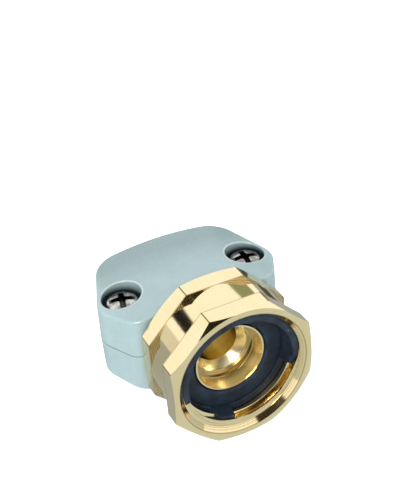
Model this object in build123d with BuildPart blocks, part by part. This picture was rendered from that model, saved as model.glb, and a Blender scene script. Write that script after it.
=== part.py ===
from build123d import *
from math import cos, pi, radians, sqrt, tan
import os

# Hose repair connector: a swivelling hose-thread nut on a barbed stem, held in a two-piece clamp.
# Millimetres. The hose axis is Y, with the nut's mouth towards -Y and the hose towards +Y, and Z is up.
# The origin is the centre of the washer's sealing face.

# Running clearances
swivel_gap = 0.3
flat_gap = 0.25
screw_fit = 0.05

# Swivel nut: octagonal brass bar, bored and threaded for a 3/4-11.5 hose thread
nut_sides = 8
nut_wall = 2.255
thread_root_radius = 13.62
thread_depth = 6.0
mouth_flare = 1.0
mouth_flare_depth = 1.0
washer_seat_step = 0.22
front_band = 4.4
rear_band = 4.3
neck_relief = 0.05
turned_face_overhang = 0.04
turned_angle = 32.0
nut_rear_wall = 3.4

# Hose washer
washer_thickness = 3.0
washer_hole_radius = 8.3
washer_fit = 1.3
washer_lip_rounding = 0.7
washer_rim_rounding = 0.35
tab_count = 4
tab_first_angle = -14.0
tab_angle = 22.0
tab_setback = 0.4
tab_clearance = 0.15

# Stem: turned brass, nose through the washer, flange inside the nut, barbed tail in the clamp
stem_bore_radius = 4.8
nose_setback = 0.35
nose_wall = 0.35
nose_cone_narrowing = 0.6
nose_cone_length = 2.95
first_step = 0.25
first_step_length = 1.6
second_step = 0.55
bore_cone_length = 1.9
flange_thickness = 2.6
flange_clearance = 0.8
stem_neck_radius = 7.9
groove_depth = 1.1
lock_ring_length = 1.7
tail_radius = 6.3
tail_inset = 4.4
barb_count = 5
barb_height = 0.65
barb_land_share = 0.25
tail_tip_chamfer = 0.6

# Clamp halves: die-cast, hexagonal in plan with rounded corners, and crowned across the hose
clamp_gap = 0.5
clamp_depth = 26.4
clamp_front_width = 33.4
clamp_back_width = 31.0
clamp_end_offset = 9.6
end_wall = 2.1
back_crown = 0.8
front_corner_rounding = 4.5
end_corner_rounding = 6.0
back_corner_rounding = 7.0
channel_wall = 2.0
crown_drop = 1.1
draft_angle = 1.0
outer_edge_rounding = 0.7
parting_edge_rounding = 0.3
lip_thickness = 2.5
hose_channel_radius = 8.5
channel_flare = 0.4
channel_flare_length = 1.6
grip_rib_count = 5
grip_rib_height = 0.45

# Clamp screws: cross-recessed pan heads sunk in counterbores
screw_spacing = 30.0
screw_setback = 1.5
screw_radius = 1.75
screw_end_setback = 0.6
screw_point_chamfer = 0.5
head_radius = 3.55
head_height = 2.3
head_crown = 0.75
head_edge_rounding = 0.5
head_sink = 1.0
counterbore_clearance = 0.85
counterbore_rounding = 0.28
shank_hole_clearance = 0.25
recess_span = 5.1
recess_width = 1.6
recess_corner = 0.4
recess_depth = 1.5
recess_taper = 12.0
left_recess_turn = -15.0
right_recess_turn = -6.0

# Places along the hose axis, worked out from the sizes above
nut_front = -thread_depth
front_band_end = nut_front + front_band
flange_back = washer_thickness + flange_thickness
nut_shoulder = flange_back + swivel_gap
nut_back = nut_shoulder + nut_rear_wall
rear_band_start = nut_back - rear_band
clamp_front = nut_back + clamp_gap
clamp_back = clamp_front + clamp_depth
end_y = clamp_front + clamp_end_offset
screw_y = end_y + screw_setback
lip_back = clamp_front + lip_thickness
tail_end = clamp_back - tail_inset

# Radii worked out from the sizes above
nut_across_flats = 2 * (thread_root_radius + nut_wall)
nut_apothem = nut_across_flats / 2
nut_face_radius = nut_apothem + turned_face_overhang
nut_corner_radius = nut_apothem / cos(pi / nut_sides)
nut_neck_radius = nut_apothem - neck_relief
nut_seat_radius = thread_root_radius - washer_seat_step
washer_radius = nut_seat_radius - washer_fit
nut_bore_radius = stem_neck_radius + swivel_gap
nose_radius = washer_hole_radius - swivel_gap
flange_radius = nut_seat_radius - flange_clearance
groove_radius = stem_neck_radius - groove_depth
lip_radius = groove_radius + swivel_gap
lock_ring_radius = stem_neck_radius
counterbore_radius = head_radius + counterbore_clearance

# Widths and heights worked out from the sizes above: the crown has dropped by crown_drop at the screws
clamp_end_width = screw_spacing + 2 * (counterbore_radius + end_wall)
half_height = hose_channel_radius + channel_wall
crown_radius = (screw_spacing**2 / 4 + crown_drop**2) / (2 * crown_drop)
screw_surface = half_height - crown_drop
head_top = screw_surface - head_sink
head_seat = head_top - head_height
shank_end = screw_end_setback - screw_surface
size_tolerance = 0.01

# Axis lines and planes that several pieces share
hose_axis = Axis.Y
section_plane = Plane.XY
right_screw = (screw_spacing / 2, screw_y)
left_screw = (-screw_spacing / 2, screw_y)


def turned(points, mode=Mode.ADD):
    """Revolve a closed outline of (radius, y) points about the hose axis."""
    with BuildSketch(section_plane) as outline:
        with BuildLine():
            Polyline(*points, close=True)
        make_face()
    revolve(outline.sketch, axis=hose_axis, mode=mode)


# Swivel nut: the bar's flats are cut by one turned outline, which also holds its bores
with BuildPart() as swivel_nut:
    with BuildSketch(Plane.XZ.offset(-nut_front)):
        RegularPolygon(nut_apothem, nut_sides, major_radius=False, rotation=180 / nut_sides)
    extrude(amount=nut_front - nut_back)
    corner_clear = nut_corner_radius + neck_relief
    corner_fall = (corner_clear - nut_face_radius) * tan(radians(turned_angle))
    nut_outline = [
        (thread_root_radius + mouth_flare, nut_front),
        (nut_face_radius, nut_front),
        (corner_clear, nut_front + corner_fall),
        (corner_clear, front_band_end),
        (nut_neck_radius, front_band_end),
        (nut_neck_radius, rear_band_start),
        (corner_clear, rear_band_start),
        (corner_clear, nut_back - corner_fall),
        (nut_face_radius, nut_back),
        (nut_bore_radius, nut_back),
        (nut_bore_radius, nut_shoulder),
        (nut_seat_radius, nut_shoulder),
        (nut_seat_radius, 0),
        (thread_root_radius, 0),
        (thread_root_radius, nut_front + mouth_flare_depth),
    ]
    turned(nut_outline, Mode.INTERSECT)

# Hose washer: a flat ring with a rounded hole, and small tabs that hold it in the thread
with BuildPart() as hose_washer:
    with BuildSketch(Plane.XZ):
        Circle(washer_radius)
        Circle(washer_hole_radius, mode=Mode.SUBTRACT)
    extrude(amount=-washer_thickness)
    face_rims = hose_washer.edges().group_by(Axis.Y)[0].sort_by(SortBy.RADIUS)
    fillet(face_rims[0], washer_lip_rounding)
    fillet(hose_washer.edges().group_by(Axis.Y)[0].sort_by(SortBy.RADIUS)[-1], washer_rim_rounding)
    tab_radius = nut_seat_radius - tab_clearance
    tab_root_radius = (washer_hole_radius + washer_radius) / 2
    with BuildSketch(Plane.XZ.offset(-tab_setback)):
        for tab in range(tab_count):
            first = tab_first_angle - tab_angle / 2 + tab * 360 / tab_count
            with BuildLine():
                outer = CenterArc((0, 0), tab_radius, first, tab_angle)
                Line(outer @ 1, (0, 0))
                Line((0, 0), outer @ 0)
            make_face()
        Circle(tab_root_radius, mode=Mode.SUBTRACT)
    extrude(amount=tab_setback - washer_thickness)

# Stem: the stepped nose, flange, neck, clamp groove and barbed tail are one turning
with BuildPart() as hose_stem:
    cone_end = nose_setback + nose_cone_length
    cone_end_radius = nose_radius - nose_wall - nose_cone_narrowing
    step_end = cone_end + first_step_length
    step_radius = cone_end_radius - first_step
    groove_front = clamp_front - flat_gap
    groove_back = lip_back + flat_gap
    ring_back = groove_back + lock_ring_length
    barb_pitch = (tail_end - tail_tip_chamfer - ring_back) / barb_count
    stem_outline = [
        (nose_radius - nose_wall, nose_setback),
        (nose_radius, nose_setback),
        (nose_radius, washer_thickness),
        (flange_radius, washer_thickness),
        (flange_radius, flange_back),
        (stem_neck_radius, flange_back),
        (stem_neck_radius, groove_front),
        (groove_radius, groove_front),
        (groove_radius, groove_back),
        (lock_ring_radius, groove_back),
        (lock_ring_radius, ring_back),
        (tail_radius, ring_back),
    ]
    for barb in range(barb_count):
        barb_front = ring_back + barb * barb_pitch
        barb_crest = barb_front + barb_pitch * barb_land_share
        stem_outline.append((tail_radius, barb_crest))
        stem_outline.append((tail_radius + barb_height, barb_crest))
        stem_outline.append((tail_radius, barb_front + barb_pitch))
    stem_outline += [
        (tail_radius - tail_tip_chamfer, tail_end),
        (stem_bore_radius, tail_end),
        (stem_bore_radius, step_end + bore_cone_length),
        (step_radius - second_step, step_end),
        (step_radius, step_end),
        (step_radius, cone_end),
        (cone_end_radius, cone_end),
    ]
    turned(stem_outline)

# Outline of the clamp, seen from above: a long hexagon with a slightly crowned back
with BuildSketch() as clamp_plan:
    right_crown_end = (clamp_back_width / 2, clamp_back - back_crown)
    left_crown_end = (-clamp_back_width / 2, clamp_back - back_crown)
    with BuildLine():
        Polyline(
            left_crown_end,
            (-clamp_end_width / 2, end_y),
            (-clamp_front_width / 2, clamp_front),
            (clamp_front_width / 2, clamp_front),
            (clamp_end_width / 2, end_y),
            right_crown_end,
        )
        SagittaArc(right_crown_end, left_crown_end, -back_crown)
    make_face()
    fillet(clamp_plan.vertices().group_by(Axis.Y)[-1], back_corner_rounding)
    fillet(clamp_plan.vertices().group_by(Axis.Y)[0], front_corner_rounding)
    end_band = (end_y - size_tolerance, end_y + size_tolerance)
    fillet(clamp_plan.vertices().filter_by_position(Axis.Y, *end_band), end_corner_rounding)

# Clamp casting: the outer form and hose channel that the two halves share, made above the parting plane
with BuildPart() as clamp_casting:
    extrude(clamp_plan.sketch, amount=half_height, taper=draft_angle)
    with BuildSketch(Plane.XZ) as crown:
        with Locations((0, half_height - crown_radius)):
            Circle(crown_radius)
    extrude(crown.sketch, amount=-clamp_back, mode=Mode.INTERSECT)
    crowned = clamp_casting.faces().filter_by(
        lambda face: face.geom_type == GeomType.CYLINDER and abs(face.radius - crown_radius) < size_tolerance
    )
    fillet(crowned.edges(), outer_edge_rounding)
    fillet(clamp_casting.faces().sort_by(Axis.Z)[0].edges(), parting_edge_rounding)
    rib_pitch = (clamp_back - channel_flare_length - lip_back) / (grip_rib_count + 1)
    channel = [
        (0, clamp_front - clamp_gap),
        (lip_radius, clamp_front - clamp_gap),
        (lip_radius, lip_back),
        (hose_channel_radius, lip_back),
    ]
    for rib in range(1, grip_rib_count + 1):
        rib_y = lip_back + rib * rib_pitch
        channel.append((hose_channel_radius, rib_y - grip_rib_height))
        channel.append((hose_channel_radius - grip_rib_height, rib_y))
        channel.append((hose_channel_radius, rib_y + grip_rib_height))
    channel += [
        (hose_channel_radius, clamp_back - channel_flare_length),
        (hose_channel_radius + channel_flare, clamp_back + back_crown),
        (0, clamp_back + back_crown),
    ]
    turned(channel, Mode.SUBTRACT)

# Upper clamp half: counterbored for the screw heads
with BuildPart() as upper_clamp_half:
    add(clamp_casting.part)
    with BuildSketch(Plane.XY.offset(head_seat)) as counterbores:
        with Locations(left_screw, right_screw):
            Circle(counterbore_radius)
    extrude(counterbores.sketch, amount=half_height, mode=Mode.SUBTRACT)
    with BuildSketch(Plane.XY) as shank_holes:
        with Locations(left_screw, right_screw):
            Circle(screw_radius + shank_hole_clearance)
    extrude(shank_holes.sketch, amount=half_height, both=True, mode=Mode.SUBTRACT)
    counterbore_walls = upper_clamp_half.faces().filter_by(
        lambda face: face.geom_type == GeomType.CYLINDER and abs(face.radius - counterbore_radius) < size_tolerance
    )
    rims = counterbore_walls.edges().filter_by(
        lambda edge: edge.bounding_box().max.Z > screw_surface - size_tolerance and edge.length > head_radius
    )
    fillet(rims, counterbore_rounding)

# Lower clamp half: the same casting turned over, tapped right through for the two screws
with BuildPart() as lower_clamp_half:
    mirror(clamp_casting.part, about=Plane.XY)
    with BuildSketch(Plane.XY) as tapped_holes:
        with Locations(left_screw, right_screw):
            Circle(screw_radius + screw_fit)
    extrude(tapped_holes.sketch, amount=half_height, both=True, mode=Mode.SUBTRACT)


def clamp_screw(place, recess_turn):
    """Turn a pan-head screw on the given (x, y) axis and cut its cross recess at the given angle."""
    x, y = place
    shoulder_height = head_top - head_crown
    with BuildSketch(Plane.XZ.offset(-y)) as outline:
        with BuildLine():
            TangentArc((x, head_top), (x + head_radius, shoulder_height), tangent=(1, 0))
            Polyline(
                (x + head_radius, shoulder_height),
                (x + head_radius, head_seat),
                (x + screw_radius, head_seat),
                (x + screw_radius, shank_end + screw_point_chamfer),
                (x + screw_radius - screw_point_chamfer, shank_end),
                (x, shank_end),
                (x, head_top),
            )
        make_face()
        fillet(outline.vertices().group_by(Axis.X)[-1].sort_by(Axis.Y)[-1], head_edge_rounding)
    revolve(outline.sketch, axis=Axis((x, y, 0), (0, 0, 1)))
    with BuildSketch(Plane.XY.offset(head_top + head_crown)) as recess:
        with Locations(Location((x, y), recess_turn)):
            Rectangle(recess_span, recess_width)
            Rectangle(recess_width, recess_span)
        core_radius = recess_width * sqrt(2)
        corners = recess.vertices().filter_by(lambda v: (v.X - x) ** 2 + (v.Y - y) ** 2 < core_radius**2)
        fillet(corners, recess_corner)
    extrude(recess.sketch, amount=-head_crown - recess_depth, taper=recess_taper, mode=Mode.SUBTRACT)


# Clamp screws
with BuildPart() as left_clamp_screw:
    clamp_screw(left_screw, left_recess_turn)

with BuildPart() as right_clamp_screw:
    clamp_screw(right_screw, right_recess_turn)

# Written files, one for each piece
os.makedirs("parts", exist_ok=True)

swivel_nut.part.label = "swivel_nut"
export_step(swivel_nut.part, "parts/swivel_nut.step")

hose_washer.part.label = "hose_washer"
export_step(hose_washer.part, "parts/hose_washer.step")

hose_stem.part.label = "hose_stem"
export_step(hose_stem.part, "parts/hose_stem.step")

upper_clamp_half.part.label = "upper_clamp_half"
export_step(upper_clamp_half.part, "parts/upper_clamp_half.step")

lower_clamp_half.part.label = "lower_clamp_half"
export_step(lower_clamp_half.part, "parts/lower_clamp_half.step")

left_clamp_screw.part.label = "left_clamp_screw"
export_step(left_clamp_screw.part, "parts/left_clamp_screw.step")

right_clamp_screw.part.label = "right_clamp_screw"
export_step(right_clamp_screw.part, "parts/right_clamp_screw.step")
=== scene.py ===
import math

import bpy
import numpy as np
from mathutils import Matrix, Vector


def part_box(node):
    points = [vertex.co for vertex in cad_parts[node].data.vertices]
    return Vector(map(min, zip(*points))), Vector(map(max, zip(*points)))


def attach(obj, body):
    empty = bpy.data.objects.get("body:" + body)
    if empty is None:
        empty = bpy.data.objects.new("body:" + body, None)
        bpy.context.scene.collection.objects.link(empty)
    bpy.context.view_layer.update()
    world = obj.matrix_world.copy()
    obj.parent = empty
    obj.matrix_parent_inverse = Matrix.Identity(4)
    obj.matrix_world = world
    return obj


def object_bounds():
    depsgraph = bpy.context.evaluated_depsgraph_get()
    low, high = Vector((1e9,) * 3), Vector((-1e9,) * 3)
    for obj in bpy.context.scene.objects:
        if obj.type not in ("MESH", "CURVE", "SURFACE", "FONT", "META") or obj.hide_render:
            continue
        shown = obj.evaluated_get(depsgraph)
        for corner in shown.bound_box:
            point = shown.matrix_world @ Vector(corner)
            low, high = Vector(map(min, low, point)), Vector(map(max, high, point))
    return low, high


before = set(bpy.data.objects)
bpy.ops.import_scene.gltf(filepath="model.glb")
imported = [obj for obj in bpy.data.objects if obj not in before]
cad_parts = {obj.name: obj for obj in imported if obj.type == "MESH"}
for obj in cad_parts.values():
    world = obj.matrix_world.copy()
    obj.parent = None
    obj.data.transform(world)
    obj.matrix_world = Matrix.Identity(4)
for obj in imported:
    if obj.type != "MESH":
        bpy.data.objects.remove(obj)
cad_low, cad_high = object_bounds()


# Swivel nut
# The real nut is turned from octagonal brass bar and polished bright. It keeps the bar's flats on two bands,
# and the neck between them is turned round. The stem's flange holds it from inside, and it spins there.

nut_low, nut_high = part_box("swivel_nut")
nut_flat = nut_high.z
flat_blend = (nut_flat - 0.0001, nut_flat + 0.00005)
neck_front = nut_low.y + 0.0044
neck_back = nut_high.y - 0.0043
face_reach = 0.00003
# Width of the painted dark edge lines, and the strength of those at the band ends.
painted_edge_line = 0.00014
painted_band_end_strength = 0.6
# Where the painted dark line at the mouth's edge lies, and its strength.
mouth_radius = 0.01462
mouth_face = (nut_low.y + 0.0002, nut_low.y + 0.0003)
painted_mouth_ring_strength = 0.8
# Where, and how strongly, the mouth's lathe rings are darkened as painted reflection.
mouth_streaks_out = 0.0148
mouth_streaks_out_fade = 0.0002
mouth_streaks_back = -0.0040
mouth_streaks_back_fade = 0.0003
mouth_streak_range = (0.54, 0.62)
mouth_streak_painted_strength = 0.8
# Which of the rear wall's lathe rings are painted dark as reflection.
wall_ring_painted_range = (0.44, 0.52)
brass_pale = (0.90, 0.76, 0.49, 1.0)
brass_warm = (0.86, 0.70, 0.41, 1.0)
# Colour of painted dark lines: reflections at the nut's edges and rear wall, shade in the stem nose's
# corners.
painted_edge_dark = (0.22, 0.16, 0.07, 1.0)
# Dark for the stem's real lathe streaks, and for painted reflections in the nut's mouth.
lathe_streak_and_painted_dark = (0.42, 0.31, 0.13, 1.0)
lathe_line_scale = 9000.0
bar_line_scale = 5200.0
bar_line_scale_along = 60.0
brass_cloud_scale = 120.0
brass_line_share = 0.5
brass_tone_range = (0.36, 0.64)
line_range = (0.2, 0.8)
nut_roughness = (0.04, 0.13)
nut_bump = (0.12, 0.00002)


def add(tree, kind, inputs=None, **settings):
    """Adds one shader node: settings are its own options, and inputs are values, or sockets to link."""
    made = tree.nodes.new(kind)
    for name, value in settings.items():
        setattr(made, name, value)
    for name, value in (inputs or {}).items():
        fill(tree, made.inputs[name], value)
    return made


def fill(tree, socket, value):
    """Links a socket into an input, or sets the input to a value."""
    if isinstance(value, bpy.types.NodeSocket):
        tree.links.new(value, socket)
    else:
        socket.default_value = value


def new_material(name):
    """An empty node material and its Principled shader."""
    material = bpy.data.materials.new(name)
    material.use_nodes = True
    return material, material.node_tree.nodes["Principled BSDF"]


def own_place(tree):
    """A point's Object coordinates."""
    return add(tree, "ShaderNodeTexCoord").outputs["Object"]


def split(tree, place):
    """A point's coordinates one by one, found under X, Y and Z."""
    return add(tree, "ShaderNodeSeparateXYZ", {"Vector": place}).outputs


def mix(tree, share, low, high):
    """A colour that goes from low to high as share goes from 0 to 1."""
    made = add(tree, "ShaderNodeMix", data_type="RGBA")
    for socket, value in ((made.inputs[0], share), (made.inputs[6], low), (made.inputs[7], high)):
        fill(tree, socket, value)
    return made.outputs[2]


def blend(tree, share, low, high):
    """A number that goes from low to high as share goes from 0 to 1."""
    made = add(tree, "ShaderNodeMix", data_type="FLOAT")
    for socket, value in ((made.inputs[0], share), (made.inputs[2], low), (made.inputs[3], high)):
        fill(tree, socket, value)
    return made.outputs[0]


def ramp(tree, value, low, high, to_low=0.0, to_high=1.0):
    """The value's stretch from low to high, laid onto to_low to to_high and held there outside it."""
    inputs = {"Value": value, "From Min": low, "From Max": high, "To Min": to_low, "To Max": to_high}
    return add(tree, "ShaderNodeMapRange", inputs).outputs["Result"]


def math_node(tree, operation, first, second=0.0):
    """One sum, product or the like of two numbers, or of one."""
    made = add(tree, "ShaderNodeMath", operation=operation)
    for socket, value in ((made.inputs[0], first), (made.inputs[1], second)):
        fill(tree, socket, value)
    return made.outputs[0]


def both(tree, first, second):
    """The product of two shares, which is 1 only where both are."""
    return math_node(tree, "MULTIPLY", first, second)


def apart(tree, value, mark):
    """How far a value is from a mark, to either side."""
    return math_node(tree, "ABSOLUTE", math_node(tree, "SUBTRACT", value, mark))


def off_axis(tree, first, second):
    """How far a point is from an axis: the square root of the sum of two squares."""
    squares = [math_node(tree, "MULTIPLY", value, value) for value in (first, second)]
    return math_node(tree, "SQRT", math_node(tree, "ADD", *squares))


def streaks(tree, place, stretch, detail):
    """Noise squeezed by a different amount along each axis. It draws fine lines along the loose one."""
    laid = add(tree, "ShaderNodeMapping", {"Vector": place, "Scale": stretch}).outputs[0]
    inputs = {"Vector": laid, "Scale": 1.0, "Detail": detail, "Roughness": 0.6}
    return add(tree, "ShaderNodeTexNoise", inputs).outputs["Fac"]


def even_noise(tree, place, scale, detail):
    """Noise of the same scale along every axis."""
    return streaks(tree, place, (scale, scale, scale), detail)


def lathe_lines(tree, axes, radius):
    """Fine rings round the hose axis: noise on the radius and on Y alone, so it is the same all round."""
    turned_place = add(tree, "ShaderNodeCombineXYZ", {"X": radius, "Y": axes["Y"]}).outputs[0]
    return streaks(tree, turned_place, (lathe_line_scale, lathe_line_scale, 1.0), detail=2.0)


def give_surface(tree, shader, colour, roughness, relief, strength, depth):
    """Gives a shader its colour and roughness, and bumps of the given strength and depth from a relief."""
    bump = add(tree, "ShaderNodeBump", {"Height": relief, "Strength": strength, "Distance": depth})
    for name, socket in (("Base Color", colour), ("Roughness", roughness), ("Normal", bump.outputs[0])):
        tree.links.new(socket, shader.inputs[name])


def dress(node, material):
    """Puts one material on every slot of a CAD node."""
    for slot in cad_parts[node].material_slots:
        slot.material = material


def painted_bar_edges(tree, axes, radius):
    """Painted reflections: thin dark lines where two flats meet and where a band ends, in place of the
    reflections in the edges' tiny bevels. On the bar's corners the larger of |X| and |Z| equals nut_flat, and
    so does their sum divided by the square root of two. A band's ends lie outside the neck's radius."""
    sizes = [math_node(tree, "ABSOLUTE", axes[name]) for name in ("X", "Z")]
    square = math_node(tree, "MAXIMUM", *sizes)
    diamond = math_node(tree, "MULTIPLY", math_node(tree, "ADD", *sizes), math.sqrt(0.5))
    smaller = math_node(tree, "MINIMUM", square, diamond)
    corner = ramp(tree, smaller, nut_flat - painted_edge_line, nut_flat - painted_edge_line * 0.5)
    ends = [apart(tree, axes["Y"], y) for y in (neck_front - painted_edge_line * 0.8, neck_back + painted_edge_line * 1.2)]
    near_end = math_node(tree, "MINIMUM", *ends)
    band_end = ramp(tree, near_end, painted_edge_line * 0.5, painted_edge_line, painted_band_end_strength, 0.0)
    outside = ramp(tree, radius, nut_flat - face_reach, nut_flat)
    return math_node(tree, "MAXIMUM", corner, both(tree, band_end, outside))


def mouth_streaks_painted_dark(tree, axes, radius, lathe):
    """The lathe tool's rings in the mouth's flare and in the first turn of the thread, darkened there as
    painted reflection.
    """
    out, back = mouth_streaks_out, mouth_streaks_back
    inside = ramp(tree, radius, out - mouth_streaks_out_fade, out, 1.0, 0.0)
    in_front = ramp(tree, axes["Y"], back, back - mouth_streaks_back_fade)
    lathe_lines_painted_dark = ramp(tree, lathe, *mouth_streak_range, 0.0, mouth_streak_painted_strength)
    return both(tree, both(tree, inside, in_front), lathe_lines_painted_dark)


def rear_wall_painted_rings(tree, axes, on_flat, lathe):
    """Lathe rings on the rear band's front wall, where the neck was cut down beside it, painted dark as
    reflection.
    """
    on_wall = ramp(tree, apart(tree, axes["Y"], neck_back), face_reach, face_reach * 2, 1.0, 0.0)
    return both(tree, both(tree, on_wall, on_flat), ramp(tree, lathe, *wall_ring_painted_range))


def painted_mouth_ring(tree, axes, radius):
    """A painted reflection: a thin dark line where the front face turns into the mouth's flare."""
    near_edge = apart(tree, radius, mouth_radius)
    ring = ramp(tree, near_edge, painted_edge_line * 0.6, painted_edge_line * 1.2, painted_mouth_ring_strength, 0.0)
    return both(tree, ring, ramp(tree, axes["Y"], *mouth_face, 1.0, 0.0))


def nut_material():
    """Polished brass: lathe lines round the neck and the faces, and faint drawing lines along the bar's
    flats.
    Painted reflections darken its edges, the rear band's front wall, the mouth's edge and the mouth's lathe
    rings."""
    material, shader = new_material("polished nut brass")
    tree = material.node_tree
    place = own_place(tree)
    axes = split(tree, place)
    radius = off_axis(tree, axes["X"], axes["Z"])
    lathe = lathe_lines(tree, axes, radius)
    drawn = streaks(tree, place, (bar_line_scale, bar_line_scale_along, bar_line_scale), detail=2.0)
    on_flat = ramp(tree, radius, *flat_blend)
    lines = blend(tree, on_flat, lathe, drawn)
    clouds = even_noise(tree, place, brass_cloud_scale, detail=2.0)
    tone = blend(tree, brass_line_share, clouds, lines)
    colour = mix(tree, ramp(tree, tone, *brass_tone_range), brass_pale, brass_warm)
    # Painted reflections: darker lathe rings in the mouth and on the rear band's wall, and dark lines at the
    # mouth's edge and the bar's edges.
    for share, shade in (
        (mouth_streaks_painted_dark(tree, axes, radius, lathe), lathe_streak_and_painted_dark),
        (rear_wall_painted_rings(tree, axes, on_flat, lathe), painted_edge_dark),
        (painted_mouth_ring(tree, axes, radius), lathe_streak_and_painted_dark),
        (painted_bar_edges(tree, axes, radius), painted_edge_dark),
    ):
        colour = mix(tree, share, colour, shade)
    shader.inputs["Metallic"].default_value = 1.0
    roughness = ramp(tree, lines, *line_range, *nut_roughness)
    give_surface(tree, shader, colour, roughness, lines, *nut_bump)
    return material


nut_brass = nut_material()
dress("swivel_nut", nut_brass)


# Thread ridges
# The female hose thread cut inside the nut's mouth: nearly two right-handed turns of a blunt ridge, in the
# nut's own brass. The mouth's flare cuts into the first turn, and the last one stops short of the washer.

thread_pitch = 0.0254 / 11.5
thread_root = 0.01362
thread_crest = 0.01232
thread_base = 0.0142
ridge_foot = 0.00150
ridge_top = 0.00026
ridge_steps = 480
ridge_least = 0.02
thread_start = -0.00525
thread_end = -0.0012
thread_start_angle = math.radians(12)
run_in = math.radians(45)
run_out = math.radians(60)
flare_end = nut_low.y + 0.00098
flare_end_step = 0.0001


def ease(share):
    """A share from 0 to 1 with a smooth start and end: 3 times its square, less twice its cube."""
    return share * share * (3 - 2 * share)


def surface(name, points, close_across=False, close_along=False):
    """A mesh from a grid of points, rows along and columns across, with one quad between each four
    neighbours. A tube that is closed across but not along gets one more face at each of its ends."""
    rows, columns = points.shape[:2]
    along = np.arange(rows if close_along else rows - 1)
    across = np.arange(columns if close_across else columns - 1)
    row, column = (a.ravel() for a in np.meshgrid(along, across, indexing="ij"))
    next_row, next_column = (row + 1) % rows, (column + 1) % columns
    near, far = row * columns, next_row * columns
    corners = (near + column, near + next_column, far + next_column, far + column)
    faces = [tuple(face) for face in np.stack(corners, axis=1).tolist()]
    if close_across and not close_along:
        faces.append(tuple(range(columns))[::-1])
        faces.append(tuple(range((rows - 1) * columns, rows * columns)))
    mesh = bpy.data.meshes.new(name)
    mesh.from_pydata(points.reshape(-1, 3).tolist(), [], faces)
    mesh.update()
    made = bpy.data.objects.new(name, mesh)
    bpy.context.scene.collection.objects.link(made)
    return made


def thread_ridge(name):
    """A ridge along a right-handed screw line about Y. At turn t it stands at angle a = start angle - t and
    at y = start + pitch * t / turn. Its crest fades into the root over the run-in and the run-out, and
    nothing of it lies in front of the flare's end. The two base columns lie inside the nut's metal."""
    turn = 2 * math.pi
    last = (thread_end - thread_start) / thread_pitch * turn
    travel = np.linspace(0.0, last, ridge_steps)[:, None]
    fade = ease(np.clip(np.minimum(travel / run_in, (last - travel) / run_out), ridge_least, 1.0))
    side = np.array([-ridge_foot, -ridge_top, ridge_top, ridge_foot, ridge_foot, -ridge_foot])[None, :] / 2
    rise = np.array([0.0, 1.0, 1.0, 0.0, 0.0, 0.0])[None, :]
    base = np.array([0.0, 0.0, 0.0, 0.0, 1.0, 1.0])[None, :]
    radius = thread_root + (thread_crest - thread_root) * rise * fade + (thread_base - thread_root) * base
    y = thread_start + thread_pitch * travel / turn + side
    y = np.maximum(y, flare_end + flare_end_step * (1 - rise))
    angle = thread_start_angle - travel
    points = np.stack([radius * np.cos(angle), y, radius * np.sin(angle)], axis=-1)
    return surface(name, points, close_across=True)


thread = thread_ridge("nut_thread_ridge")
thread.data.materials.append(nut_brass)
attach(thread, "swivel")


# Hose washer
# The real washer is moulded rubber, nearly black with a blue cast, matte, with a little dust on it. It is
# pressed in behind the thread. The photograph shows black over the thread's turns too, which is read here as
# its soft rim and two tabs, bent forward.

rubber_dark = (0.006, 0.010, 0.016, 1.0)
rubber_light = (0.015, 0.028, 0.049, 1.0)
dust_colour = (0.30, 0.33, 0.37, 1.0)
rubber_grain_scale = 2600.0
rubber_cloud_scale = 260.0
dust_scale = 900.0
dust_size = (0.06, 0.13)
dust_chosen = (0.93, 0.95)
noise_range = (0.3, 0.7)
rubber_roughness = (0.46, 0.62)
rubber_bump = (0.25, 0.00005)
rim_low = 0.0120
rim_high = 0.01358
rim_front = -0.0004
rim_back = 0.0008
rim_edge = 0.00035
rim_slope = math.radians(5)
tab_front = -0.0040
tab_centres = (math.radians(-107), math.radians(-9))
tab_width = math.radians(20)
upper_front = -0.0049
upper_centre = math.radians(93)
upper_width = math.radians(204)
rim_steps = 360
rim_columns = 24


def washer_material():
    """Matte black rubber with a fine grain, soft clouds of bloom and a few specks of dust."""
    material, shader = new_material("washer rubber")
    tree = material.node_tree
    place = own_place(tree)
    grain = even_noise(tree, place, rubber_grain_scale, detail=4.0)
    clouds = even_noise(tree, place, rubber_cloud_scale, detail=3.0)
    body = mix(tree, ramp(tree, clouds, *noise_range), rubber_dark, rubber_light)
    specks = add(tree, "ShaderNodeTexVoronoi", {"Vector": place, "Scale": dust_scale}).outputs
    near = ramp(tree, specks["Distance"], *dust_size, 1.0, 0.0)
    drawn_lot = add(tree, "ShaderNodeSeparateColor", {"Color": specks["Color"]}).outputs[0]
    chosen = ramp(tree, drawn_lot, *dust_chosen)
    colour = mix(tree, both(tree, near, chosen), body, dust_colour)
    shader.inputs["Specular IOR Level"].default_value = 0.28
    roughness = ramp(tree, grain, *noise_range, *rubber_roughness)
    give_surface(tree, shader, colour, roughness, grain, *rubber_bump)
    return material


def lifted(angle, centre, width):
    """1 over an arc of the given width round centre, falling smoothly to 0 over rim_slope at each side."""
    away = np.abs((angle - centre + math.pi) % (2 * math.pi) - math.pi)
    return ease(np.clip((width / 2 + rim_slope / 2 - away) / rim_slope, 0.0, 1.0))


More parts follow.
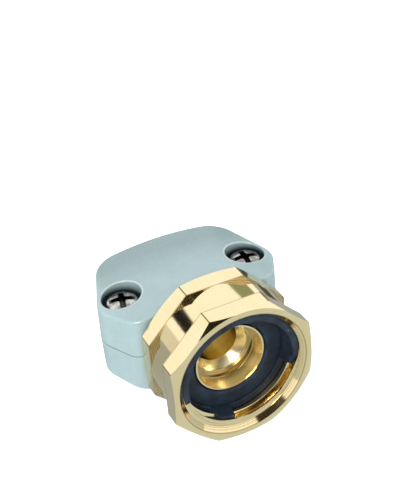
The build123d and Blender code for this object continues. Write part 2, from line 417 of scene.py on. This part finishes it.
def washer_rim(name):
    """The washer's soft rim, curled forward over the thread: a rounded rectangle carried round the hose axis.
    At t round the rectangle, radius = middle + half width * sign(cos t) + edge * cos t, and y is found in the
    same way from the half length and the sine. Its front edge stands at rim_front and comes further forward
    at two tabs and along the upper side."""
    angle = np.linspace(-math.pi, math.pi, rim_steps, endpoint=False)[:, None]
    tab = np.maximum(*[lifted(angle, centre, tab_width) for centre in tab_centres])
    upper = lifted(angle, upper_centre, upper_width)
    front = rim_front + np.minimum((tab_front - rim_front) * tab, (upper_front - rim_front) * upper)
    around = np.linspace(0.0, 2 * math.pi, rim_columns, endpoint=False)[None, :]
    half_width = (rim_high - rim_low) / 2 - rim_edge
    half_length = (rim_back - front) / 2 - rim_edge
    radius = (rim_low + rim_high) / 2 + half_width * np.sign(np.cos(around)) + rim_edge * np.cos(around)
    y = (front + rim_back) / 2 + half_length * np.sign(np.sin(around)) + rim_edge * np.sin(around)
    points = np.stack([radius * np.cos(angle), y, radius * np.sin(angle)], axis=-1)
    return surface(name, points, close_across=True, close_along=True)


washer_rubber = washer_material()
dress("hose_washer", washer_rubber)

rim = washer_rim("washer_soft_rim")
rim.data.materials.append(washer_rubber)
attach(rim, "swivel")


# Stem
# The real stem is turned from brass rod, warmer in colour than the nut. Its stepped nose shows inside the
# washer, and its bore is dark gold, with painted shade further in. It is held between the clamp halves, and
# its tail is hidden in them.

stem_gold = (0.90, 0.80, 0.54, 1.0)
stem_deep_tone_and_shade = (0.86, 0.70, 0.34, 1.0)
stem_painted_shade_ochre = (0.80, 0.56, 0.19, 1.0)
stem_cloud_scale = 300.0
stem_cloud_share = 0.25
stem_roughness = (0.16, 0.28)
stem_bump = (0.2, 0.00002)
stem_streak_range = (0.54, 0.64)
stem_streak_strength = 0.7
# Painted shade: over this stretch the colour deepens into the bore.
bore_painted_shade_span = (0.004, 0.009)
nose_rim = (0.0004, 0.0006)
# Painted shade tints the nose's cone ochre behind its rim.
nose_cone_end = 0.0033
nose_cone_painted_ochre = 0.3
nose_step_end = 0.0049
# Width and strength of the painted dark lines in the nose's inner corners.
painted_nose_line = 0.00012
painted_nose_line_strength = 0.5


def stem_material():
    """Turned brass with lathe lines all over. Painted shade deepens the bore's colour, tints the nose's cone
    a little ochre behind its rim, and draws thin dark lines at the nose's inner corners."""
    material, shader = new_material("turned stem brass")
    tree = material.node_tree
    place = own_place(tree)
    axes = split(tree, place)
    lathe = lathe_lines(tree, axes, off_axis(tree, axes["X"], axes["Z"]))
    clouds = even_noise(tree, place, stem_cloud_scale, detail=3.0)
    # Painted shade deepens the colour into the bore; the clouds are random tone.
    depth = ramp(tree, axes["Y"], *bore_painted_shade_span)
    tone_and_bore_shade = math_node(tree, "ADD", depth, math_node(tree, "MULTIPLY", clouds, stem_cloud_share))
    colour = mix(tree, math_node(tree, "MINIMUM", tone_and_bore_shade, 1.0), stem_gold, stem_deep_tone_and_shade)
    painted_shade_behind_rim = ramp(tree, axes["Y"], *nose_rim, 0.0, nose_cone_painted_ochre)
    on_cone = ramp(tree, axes["Y"], nose_cone_end - painted_nose_line, nose_cone_end, 1.0, 0.0)
    # Painted shade in the nose's inner corners.
    corners = [apart(tree, axes["Y"], y) for y in (nose_cone_end, nose_step_end)]
    near_corner = math_node(tree, "MINIMUM", *corners)
    # Painted shade: ochre on the nose's cone and thin dark lines at its inner corners. The streaks are the
    # stem's own lathe lines.
    for share, shade in (
        (both(tree, painted_shade_behind_rim, on_cone), stem_painted_shade_ochre),
        (ramp(tree, near_corner, painted_nose_line * 0.5, painted_nose_line, painted_nose_line_strength, 0.0), painted_edge_dark),
        (ramp(tree, lathe, *stem_streak_range, 0.0, stem_streak_strength), lathe_streak_and_painted_dark),
    ):
        colour = mix(tree, share, colour, shade)
    shader.inputs["Metallic"].default_value = 1.0
    roughness = ramp(tree, lathe, *line_range, *stem_roughness)
    give_surface(tree, shader, colour, roughness, lathe, *stem_bump)
    return material


dress("hose_stem", stem_material())


# Clamp halves
# The real halves are zinc die castings with a satin blue-grey finish, slightly grained where the metal was
# blasted before it was coated. Two screws draw them together over the hose.

zinc_base = (0.295, 0.40, 0.415, 1.0)
zinc_light = (0.33, 0.445, 0.46, 1.0)
# Painted shade, on top towards the hose end and along the parting line.
zinc_painted_shade = (0.09, 0.15, 0.16, 1.0)
# Pale speckle of the coat, also used as the painted highlight round the holes' rims.
zinc_speckle_and_highlight = (0.55, 0.62, 0.62, 1.0)
# Painted shade down the screw holes.
zinc_painted_hole_shade = (0.010, 0.020, 0.027, 1.0)
zinc_cloud_scale = 180.0
zinc_grain_scale = 4200.0
zinc_speckle_scale = 3000.0
speckle_range = (0.62, 0.74)
speckle_strength = 0.25
zinc_roughness = (0.32, 0.44)
zinc_bump = (0.25, 0.00003)
screw_out = 0.015
screw_along = 0.0209
clamp_top_at_screws = 0.0094
clamp_top = (clamp_top_at_screws - 0.0011, clamp_top_at_screws - 0.0002)
# Painted shade: the top darkens towards the hose end over this stretch.
top_painted_shade_span = (0.021, 0.031)
top_painted_shade_amount = (0.17, 0.56)
# Painted shade down the screw holes: where it starts and ends, and how deep.
hole_reach = (0.0046, 0.0048)
hole_shade_span = (clamp_top_at_screws - 0.0004, clamp_top_at_screws - 0.0020)
hole_bottom = (0.0050, 0.0055)
# Painted highlight: a pale ring round each hole's rim.
hole_rim = 0.00462
hole_rim_reach = (0.0001, 0.0003)
hole_rim_highlight_strength = 0.45
# Painted shade along the parting line, off the parting faces themselves.
seam_reach = (0.00008, 0.00020)
seam_shade_strength = 0.75
parting_face = (0.000003, 0.000015)


def beside_screw(tree, axes):
    """How far a point is from the nearer screw's axis, outwards and along the hose."""
    out = math_node(tree, "SUBTRACT", math_node(tree, "ABSOLUTE", axes["X"]), screw_out)
    along = math_node(tree, "SUBTRACT", axes["Y"], screw_along)
    return out, along


def clamp_material(name):
    """Satin coated zinc: soft clouds of colour, a fine blasted grain and a slightly glossy coat. Painted
    shade makes it darker on top towards the hose end, down the screw holes and along the parting line, and a
    painted highlight makes it paler round the holes' rims."""
    material, shader = new_material(name)
    tree = material.node_tree
    place = own_place(tree)
    axes = split(tree, place)
    clouds = even_noise(tree, place, zinc_cloud_scale, detail=4.0)
    grain = even_noise(tree, place, zinc_grain_scale, detail=3.0)
    speckle = ramp(tree, even_noise(tree, place, zinc_speckle_scale, detail=1.0), *speckle_range)
    from_screw = off_axis(tree, *beside_screw(tree, axes))
    on_top = ramp(tree, axes["Z"], *clamp_top)
    rim_painted_highlight = ramp(tree, apart(tree, from_screw, hole_rim), *hole_rim_reach, hole_rim_highlight_strength, 0.0)
    from_parting = math_node(tree, "ABSOLUTE", axes["Z"])
    seam_shade = ramp(tree, from_parting, *seam_reach, seam_shade_strength, 0.0)
    hole_shade = both(tree, ramp(tree, axes["Z"], *hole_shade_span), ramp(tree, axes["Z"], *hole_bottom))
    colour = mix(tree, ramp(tree, clouds, *noise_range), zinc_base, zinc_light)
    # Painted shade on top towards the hose end, along the parting line and down the screw holes, and a
    # painted highlight round the holes' rims. The speckle is the coat's own.
    for share, shade in (
        (both(tree, on_top, ramp(tree, axes["Y"], *top_painted_shade_span, *top_painted_shade_amount)), zinc_painted_shade),
        (math_node(tree, "MULTIPLY", speckle, speckle_strength), zinc_speckle_and_highlight),
        (both(tree, rim_painted_highlight, on_top), zinc_speckle_and_highlight),
        (both(tree, seam_shade, ramp(tree, from_parting, *parting_face)), zinc_painted_shade),
        (both(tree, ramp(tree, from_screw, *hole_reach, 1.0, 0.0), hole_shade), zinc_painted_hole_shade),
    ):
        colour = mix(tree, share, colour, shade)
    shader.inputs["Metallic"].default_value = 0.15
    shader.inputs["Coat Weight"].default_value = 0.5
    shader.inputs["Coat Roughness"].default_value = 0.16
    roughness = ramp(tree, grain, *noise_range, *zinc_roughness)
    give_surface(tree, shader, colour, roughness, grain, *zinc_bump)
    return material


dress("upper_clamp_half", clamp_material("upper clamp satin zinc"))
dress("lower_clamp_half", clamp_material("lower clamp satin zinc"))


# Clamp screws
# The real screws are plated steel with rolled threads and a pressed cross recess, whose shade is painted in.
# They pass through the upper half and are threaded into the lower one.

steel_bright = (0.60, 0.59, 0.56, 1.0)
steel_dull = (0.26, 0.25, 0.23, 1.0)
# Painted shade in the cross recess.
recess_painted_shade = (0.045, 0.04, 0.04, 1.0)
scuff_scale = 1500.0
plating_cloud_scale = 700.0
plating_range = (0.42, 0.58)
steel_roughness = (0.18, 0.36)
steel_bump = (0.3, 0.00004)
head_top = 0.0084
head_radius = 0.00355
head_crown = 0.00075
below_dome = (0.00006, 0.00030)
recess_bottom = (0.0067, 0.0068)
recess_reach = (0.00275, 0.00285)
recess_arm = (0.00060, 0.00072)
left_recess_turn = math.radians(-15)
right_recess_turn = math.radians(-6)


def cross_arms(tree, axes, out, along):
    """1 on the two arms of the cross, found by turning each screw's own place back by its recess's turn."""
    right = math_node(tree, "GREATER_THAN", axes["X"], 0.0)
    aside = math_node(tree, "MULTIPLY", out, ramp(tree, right, 0.0, 1.0, -1.0, 1.0))
    turn = ramp(tree, right, 0.0, 1.0, -left_recess_turn, -right_recess_turn)
    flat_place = add(tree, "ShaderNodeCombineXYZ", {"X": aside, "Y": along}).outputs[0]
    inputs = {"Vector": flat_place, "Angle": turn}
    turned_place = add(tree, "ShaderNodeVectorRotate", inputs, rotation_type="Z_AXIS").outputs[0]
    turned = split(tree, turned_place)
    nearer = math_node(tree, "MINIMUM", *[math_node(tree, "ABSOLUTE", turned[name]) for name in ("X", "Y")])
    return ramp(tree, nearer, *recess_arm, 1.0, 0.0)


def screw_material():
    """Bright plated steel with small scuffs, and painted shade in the cross recess: along its two arms, and
    wherever the metal lies below the dome, head_top - head_crown * (distance from the axis / head_radius) **
    2."""
    material, shader = new_material("plated screw steel")
    tree = material.node_tree
    place = own_place(tree)
    axes = split(tree, place)
    scuffs = even_noise(tree, place, scuff_scale, detail=4.0)
    clouds = even_noise(tree, place, plating_cloud_scale, detail=2.0)
    out, along = beside_screw(tree, axes)
    from_axis = off_axis(tree, out, along)
    share = math_node(tree, "DIVIDE", from_axis, head_radius)
    fall = math_node(tree, "MULTIPLY", math_node(tree, "MULTIPLY", share, share), head_crown)
    dome = math_node(tree, "SUBTRACT", head_top, fall)
    below = ramp(tree, math_node(tree, "SUBTRACT", dome, axes["Z"]), *below_dome)
    # Painted shade in the cross recess: along its arms and below the dome.
    dark = math_node(tree, "MAXIMUM", below, cross_arms(tree, axes, out, along))
    within_reach = ramp(tree, from_axis, *recess_reach, 1.0, 0.0)
    in_head = both(tree, ramp(tree, axes["Z"], *recess_bottom), within_reach)
    plating = mix(tree, ramp(tree, clouds, *plating_range), steel_bright, steel_dull)
    colour = mix(tree, both(tree, dark, in_head), plating, recess_painted_shade)
    shader.inputs["Metallic"].default_value = 1.0
    roughness = ramp(tree, scuffs, *noise_range, *steel_roughness)
    give_surface(tree, shader, colour, roughness, scuffs, *steel_bump)
    return material


screw_steel = screw_material()
dress("left_clamp_screw", screw_steel)
dress("right_clamp_screw", screw_steel)


# Studio
# A plain pale floor under the nut, an even white surround and one large soft light. The polished brass
# doesn't mirror the pale floor: it mirrors two grey ones, and eight dark, brown, grey and pale cards that
# only reflections see.

floor_height = cad_low.z - 0.0001
floor_size = 3.0
floor_white = (0.92, 0.92, 0.92, 1.0)
floor_glow = 0.35
card_distance = 0.5
card_dark = (0.01, 0.01, 0.01, 1.0)
card_pale = (0.80, 0.80, 0.74, 1.0)
card_grey = (0.31, 0.35, 0.21, 1.0)
card_brown = (0.10, 0.08, 0.05, 1.0)
card_olive = (0.02, 0.02, 0.01, 1.0)
card_shade = (0.04, 0.035, 0.02, 1.0)
white = (1.0, 1.0, 1.0, 1.0)
black = (0.0, 0.0, 0.0, 1.0)
surround_strength = 1.2
soft_box_side = 0.22
soft_box_power = 2.2
soft_box_place = (-0.34, -0.36, 0.42)
camera_aim = Vector((0.01598, 0.04432, -0.0038))
camera_distance = 0.25
camera_azimuth = math.radians(-23.98)
camera_elevation = math.radians(33.89)
camera_roll = math.radians(-4.85)
camera_lens = 72.2


def flat_card(name, centre, facing, width, height, base, glow, glow_strength):
    """A flat rectangle that faces the given direction, with a base colour and a glow of its own."""
    turn = Vector(facing).to_track_quat("Z", "Y").to_matrix()
    corners = ((-0.5, -0.5), (0.5, -0.5), (0.5, 0.5), (-0.5, 0.5))
    points = [Vector(centre) + turn @ Vector((u * width, v * height, 0.0)) for u, v in corners]
    mesh = bpy.data.meshes.new(name)
    mesh.from_pydata([tuple(p) for p in points], [], [(0, 1, 2, 3)])
    card = bpy.data.objects.new(name, mesh)
    bpy.context.scene.collection.objects.link(card)
    material, shader = new_material(name)
    shader.inputs["Base Color"].default_value = base
    shader.inputs["Roughness"].default_value = 0.9
    shader.inputs["Specular IOR Level"].default_value = 0.0
    shader.inputs["Emission Color"].default_value = glow
    shader.inputs["Emission Strength"].default_value = glow_strength
    mesh.materials.append(material)
    return card


def seen_in_reflections_only(card):
    """Hides a card from the camera and from all light but reflections, and lets it cast no shadow."""
    card.visible_camera = False
    card.visible_diffuse = False
    card.visible_shadow = False
    card.visible_transmission = False


up = (0, 0, 1)
floor_centre = (0.0, 0.0, floor_height)
floor = flat_card("studio_floor", floor_centre, up, floor_size, floor_size, floor_white, white, floor_glow)
floor.visible_glossy = False

for name, centre, width, height, base in (
    ("back_floor_reflection", (0.0, 0.5, floor_height), 3.0, 1.0, (0.28, 0.31, 0.31, 1.0)),
    ("front_floor_reflection", (0.0, -0.5, floor_height), 3.0, 1.0, (0.47, 0.51, 0.49, 1.0)),
):
    seen_in_reflections_only(flat_card(name, centre, up, width, height, base, black, 0.0))

for name, towards, distance, width, height, glow in (
    ("left_dark_card", (-0.47, 0.73, 0.49), card_distance, 0.13, 0.10, card_dark),
    ("low_left_card", (-0.68, 0.72, 0.05), card_distance, 0.20, 0.20, card_pale),
    ("right_grey_card", (0.615, 0.72, 0.315), card_distance, 0.15, 0.17, card_grey),
    ("right_brown_card", (0.0403, 0.0337, 0.0008), 0.0525, 0.010, 0.011, card_brown),
    ("front_dark_card", (-0.05, -0.90, 0.37), card_distance, 0.36, 0.16, card_olive),
    ("camera_side_card_left", (-0.44, -0.755, 0.48), card_distance, 0.13, 0.13, card_shade),
    ("camera_side_card_middle", (-0.24, -0.765, 0.60), card_distance, 0.14, 0.13, card_shade),
    ("camera_side_card_right", (-0.02, -0.75, 0.66), card_distance, 0.12, 0.13, card_shade),
):
    direction = Vector(towards).normalized()
    card = flat_card(name, direction * distance, -direction, width, height, black, glow, 1.0)
    seen_in_reflections_only(card)

world = bpy.data.worlds.new("even white surround")
world.use_nodes = True
world.node_tree.nodes["Background"].inputs["Color"].default_value = white
world.node_tree.nodes["Background"].inputs["Strength"].default_value = surround_strength
bpy.context.scene.world = world

soft_box = bpy.data.lights.new("soft_box", "AREA")
soft_box.shape = "RECTANGLE"
soft_box.size = soft_box_side
soft_box.size_y = soft_box_side
soft_box.energy = soft_box_power
light = bpy.data.objects.new("soft_box", soft_box)
light.location = soft_box_place
light.rotation_mode = "QUATERNION"
light.rotation_quaternion = light.location.to_track_quat("Z", "Y")
bpy.context.scene.collection.objects.link(light)

camera_data = bpy.data.cameras.new("photo_camera")
camera_data.lens = camera_lens
camera_data.sensor_width = 36.0
camera_data.clip_start = 0.01
camera = bpy.data.objects.new("photo_camera", camera_data)
bpy.context.scene.collection.objects.link(camera)
back = Vector(
    (
        math.sin(camera_azimuth) * math.cos(camera_elevation),
        -math.cos(camera_azimuth) * math.cos(camera_elevation),
        math.sin(camera_elevation),
    )
)
camera.location = camera_aim + back * camera_distance
camera.rotation_mode = "QUATERNION"
level = (-back).to_track_quat("-Z", "Y")
camera.rotation_quaternion = Matrix.Rotation(camera_roll, 3, back).to_quaternion() @ level
bpy.context.scene.camera = camera
bpy.context.scene.view_settings.view_transform = "Standard"
